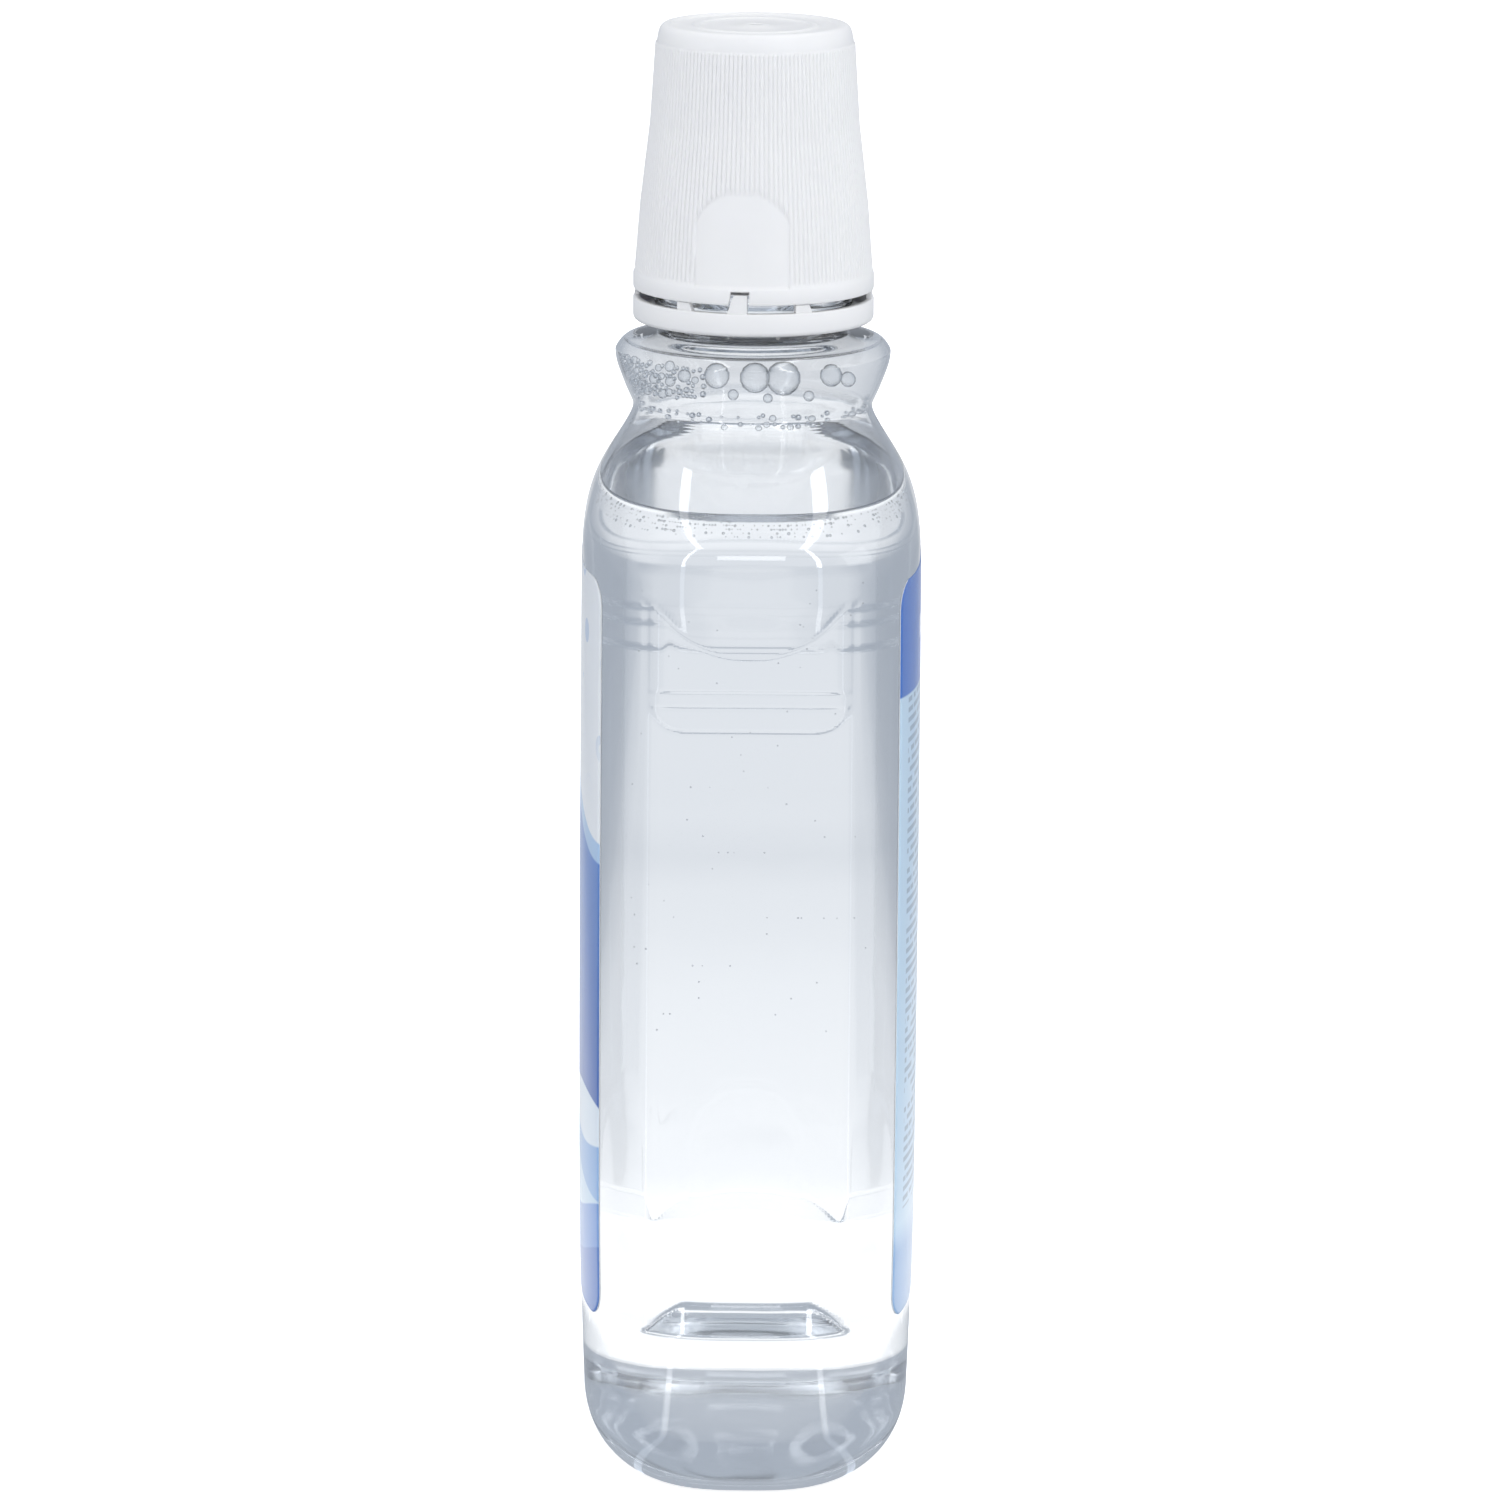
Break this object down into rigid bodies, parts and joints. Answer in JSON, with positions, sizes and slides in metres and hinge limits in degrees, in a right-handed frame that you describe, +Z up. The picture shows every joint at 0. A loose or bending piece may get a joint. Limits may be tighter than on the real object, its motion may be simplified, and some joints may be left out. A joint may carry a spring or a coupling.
{
  "type": "mouthwash bottle with dosing cap",
  "caption": "Tall oval clear bottle with a round collar and waist, filled with clear liquid, under a tapered ribbed dosing cup cap with a tamper band.",
  "frame": {"origin": "centre of the base's footprint, on the table", "axes": "+Z up along the bottle, +X towards the narrow side that the picture shows, front label at -Y"},
  "size_m": [0.0844, 0.0506, 0.2123],
  "materials": {
    "clear_pet": "clear gloss",
    "clear_liquid": "clear liquid",
    "white_polypropylene": "moulded satin",
    "soft_seal": "soft satin",
    "front_label_film": "printed film",
    "back_label_film": "printed film"
  },
  "bodies": {
    "bottle": {"bottle": "clear_pet", "mouthwash": "clear_liquid", "front_label": "front_label_film", "back_label": "back_label_film"},
    "seal": {"seal_ring": "soft_seal"},
    "cap": {"dosing_cap": "white_polypropylene"},
    "band": {"tamper_band": "white_polypropylene", "breakaway_tabs": "white_polypropylene"}
  },
  "joints": [
    {"name": "cap_lift", "type": "slide", "parent": "bottle", "child": "seal", "axis": [0, 0, 1], "range_m": [0, 0.017]},
    {"name": "cap_turn", "type": "hinge", "parent": "seal", "child": "cap", "pos_m": [0, 0, 0.18], "axis": [0, 0, 1], "range_deg": [0, 1440], "deforming": ["breakaway_tabs"]},
    {"name": "band_drop", "type": "slide", "parent": "bottle", "child": "band", "axis": [0, 0, 1], "range_m": [-0.0019, 0]}
  ],
  "couplings": [
    {"joint": "cap_lift", "follows": "cap_turn", "m_per_rad": 0.00067323}
  ]
}
